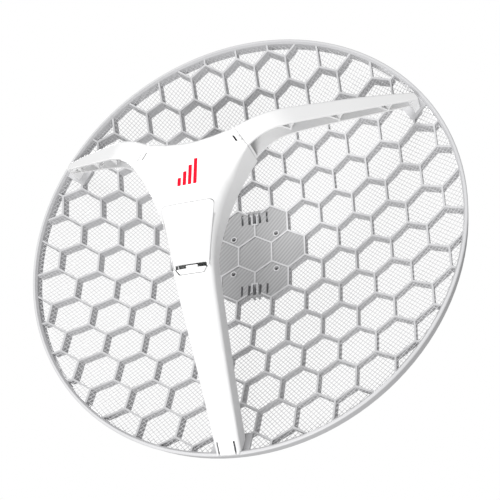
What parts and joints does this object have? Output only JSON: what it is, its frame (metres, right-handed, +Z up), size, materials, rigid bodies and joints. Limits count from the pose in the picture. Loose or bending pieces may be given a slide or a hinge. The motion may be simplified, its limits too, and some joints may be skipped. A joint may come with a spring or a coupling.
{
  "type": "parabolic grid antenna",
  "caption": "Parabolic grid antenna with a honeycomb mesh dish, a white feed head on a leg and arms, and a bracket with hose clamps.",
  "frame": {"origin": "on the pole's axis, level with the dish's centre", "axes": "+Z up along the pole, -Y along the beam away from the dish, +X to the right seen from in front"},
  "size_m": [0.5492, 0.3033, 0.5492],
  "materials": {
    "dish_plastic": "light grey moulded, fine texture",
    "mesh_wire": "light coated wire",
    "cover_plastic": "white, satin",
    "bracket_plastic": "grey glass-filled",
    "clamp_steel": "stainless band",
    "screw_steel": "zinc-plated",
    "insert_brass": "turned brass",
    "board_laminate": "green solder mask",
    "patch_copper": "plated copper",
    "shield_steel": "tinned can",
    "jack_metal": "nickel-plated",
    "black_plastic": "black",
    "lamp": "clear lens"
  },
  "bodies": {
    "antenna": {"reflector_grid": "dish_plastic", "reflector_mesh": "mesh_wire", "pole_bracket": "bracket_plastic", "bracket_inserts": "insert_brass", "bracket_screws": "screw_steel", "front_cover": "cover_plastic", "rear_cover": "cover_plastic", "arm_right": "cover_plastic", "arm_left": "cover_plastic", "main_board": "board_laminate", "board_screws": "screw_steel", "cover_screws": "screw_steel", "rf_shield": "shield_steel", "feed_spacer": "black_plastic", "feed_patch": "patch_copper", "ethernet_jack": "jack_metal", "reset_switch": "black_plastic", "status_leds": "lamp", "clamp_band_upper": "clamp_steel", "clamp_band_lower": "clamp_steel", "clamp_housing_upper": "clamp_steel", "clamp_housing_lower": "clamp_steel"},
    "door": {"port_door": "cover_plastic"},
    "latch": {"door_latch": "cover_plastic"},
    "reset": {"reset_button": "black_plastic"},
    "upper_worm": {"clamp_screw_upper": "screw_steel"},
    "lower_worm": {"clamp_screw_lower": "screw_steel"}
  },
  "joints": [
    {"name": "door_hinge", "type": "hinge", "parent": "antenna", "child": "door", "pos_m": [0, -0.27148, -0.0428], "axis": [-1, 0, 0], "range_deg": [0, 70]},
    {"name": "latch_flex", "type": "hinge", "parent": "door", "child": "latch", "pos_m": [0, -0.25607, -0.1035], "axis": [1, 0, 0], "range_deg": [0, 8], "stiffness_Nm_per_rad": 0.3},
    {"name": "reset_press", "type": "slide", "parent": "antenna", "child": "reset", "axis": [0, 1, 0], "range_m": [0, 0.0006], "stiffness_N_per_m": 2000, "springref_m": -0.0002},
    {"name": "upper_worm_turn", "type": "hinge", "parent": "antenna", "child": "upper_worm", "pos_m": [0, 0.0253, 0.044], "axis": [1, 0, 0], "continuous": true},
    {"name": "lower_worm_turn", "type": "hinge", "parent": "antenna", "child": "lower_worm", "pos_m": [0, 0.0253, -0.009], "axis": [1, 0, 0], "continuous": true}
  ]
}
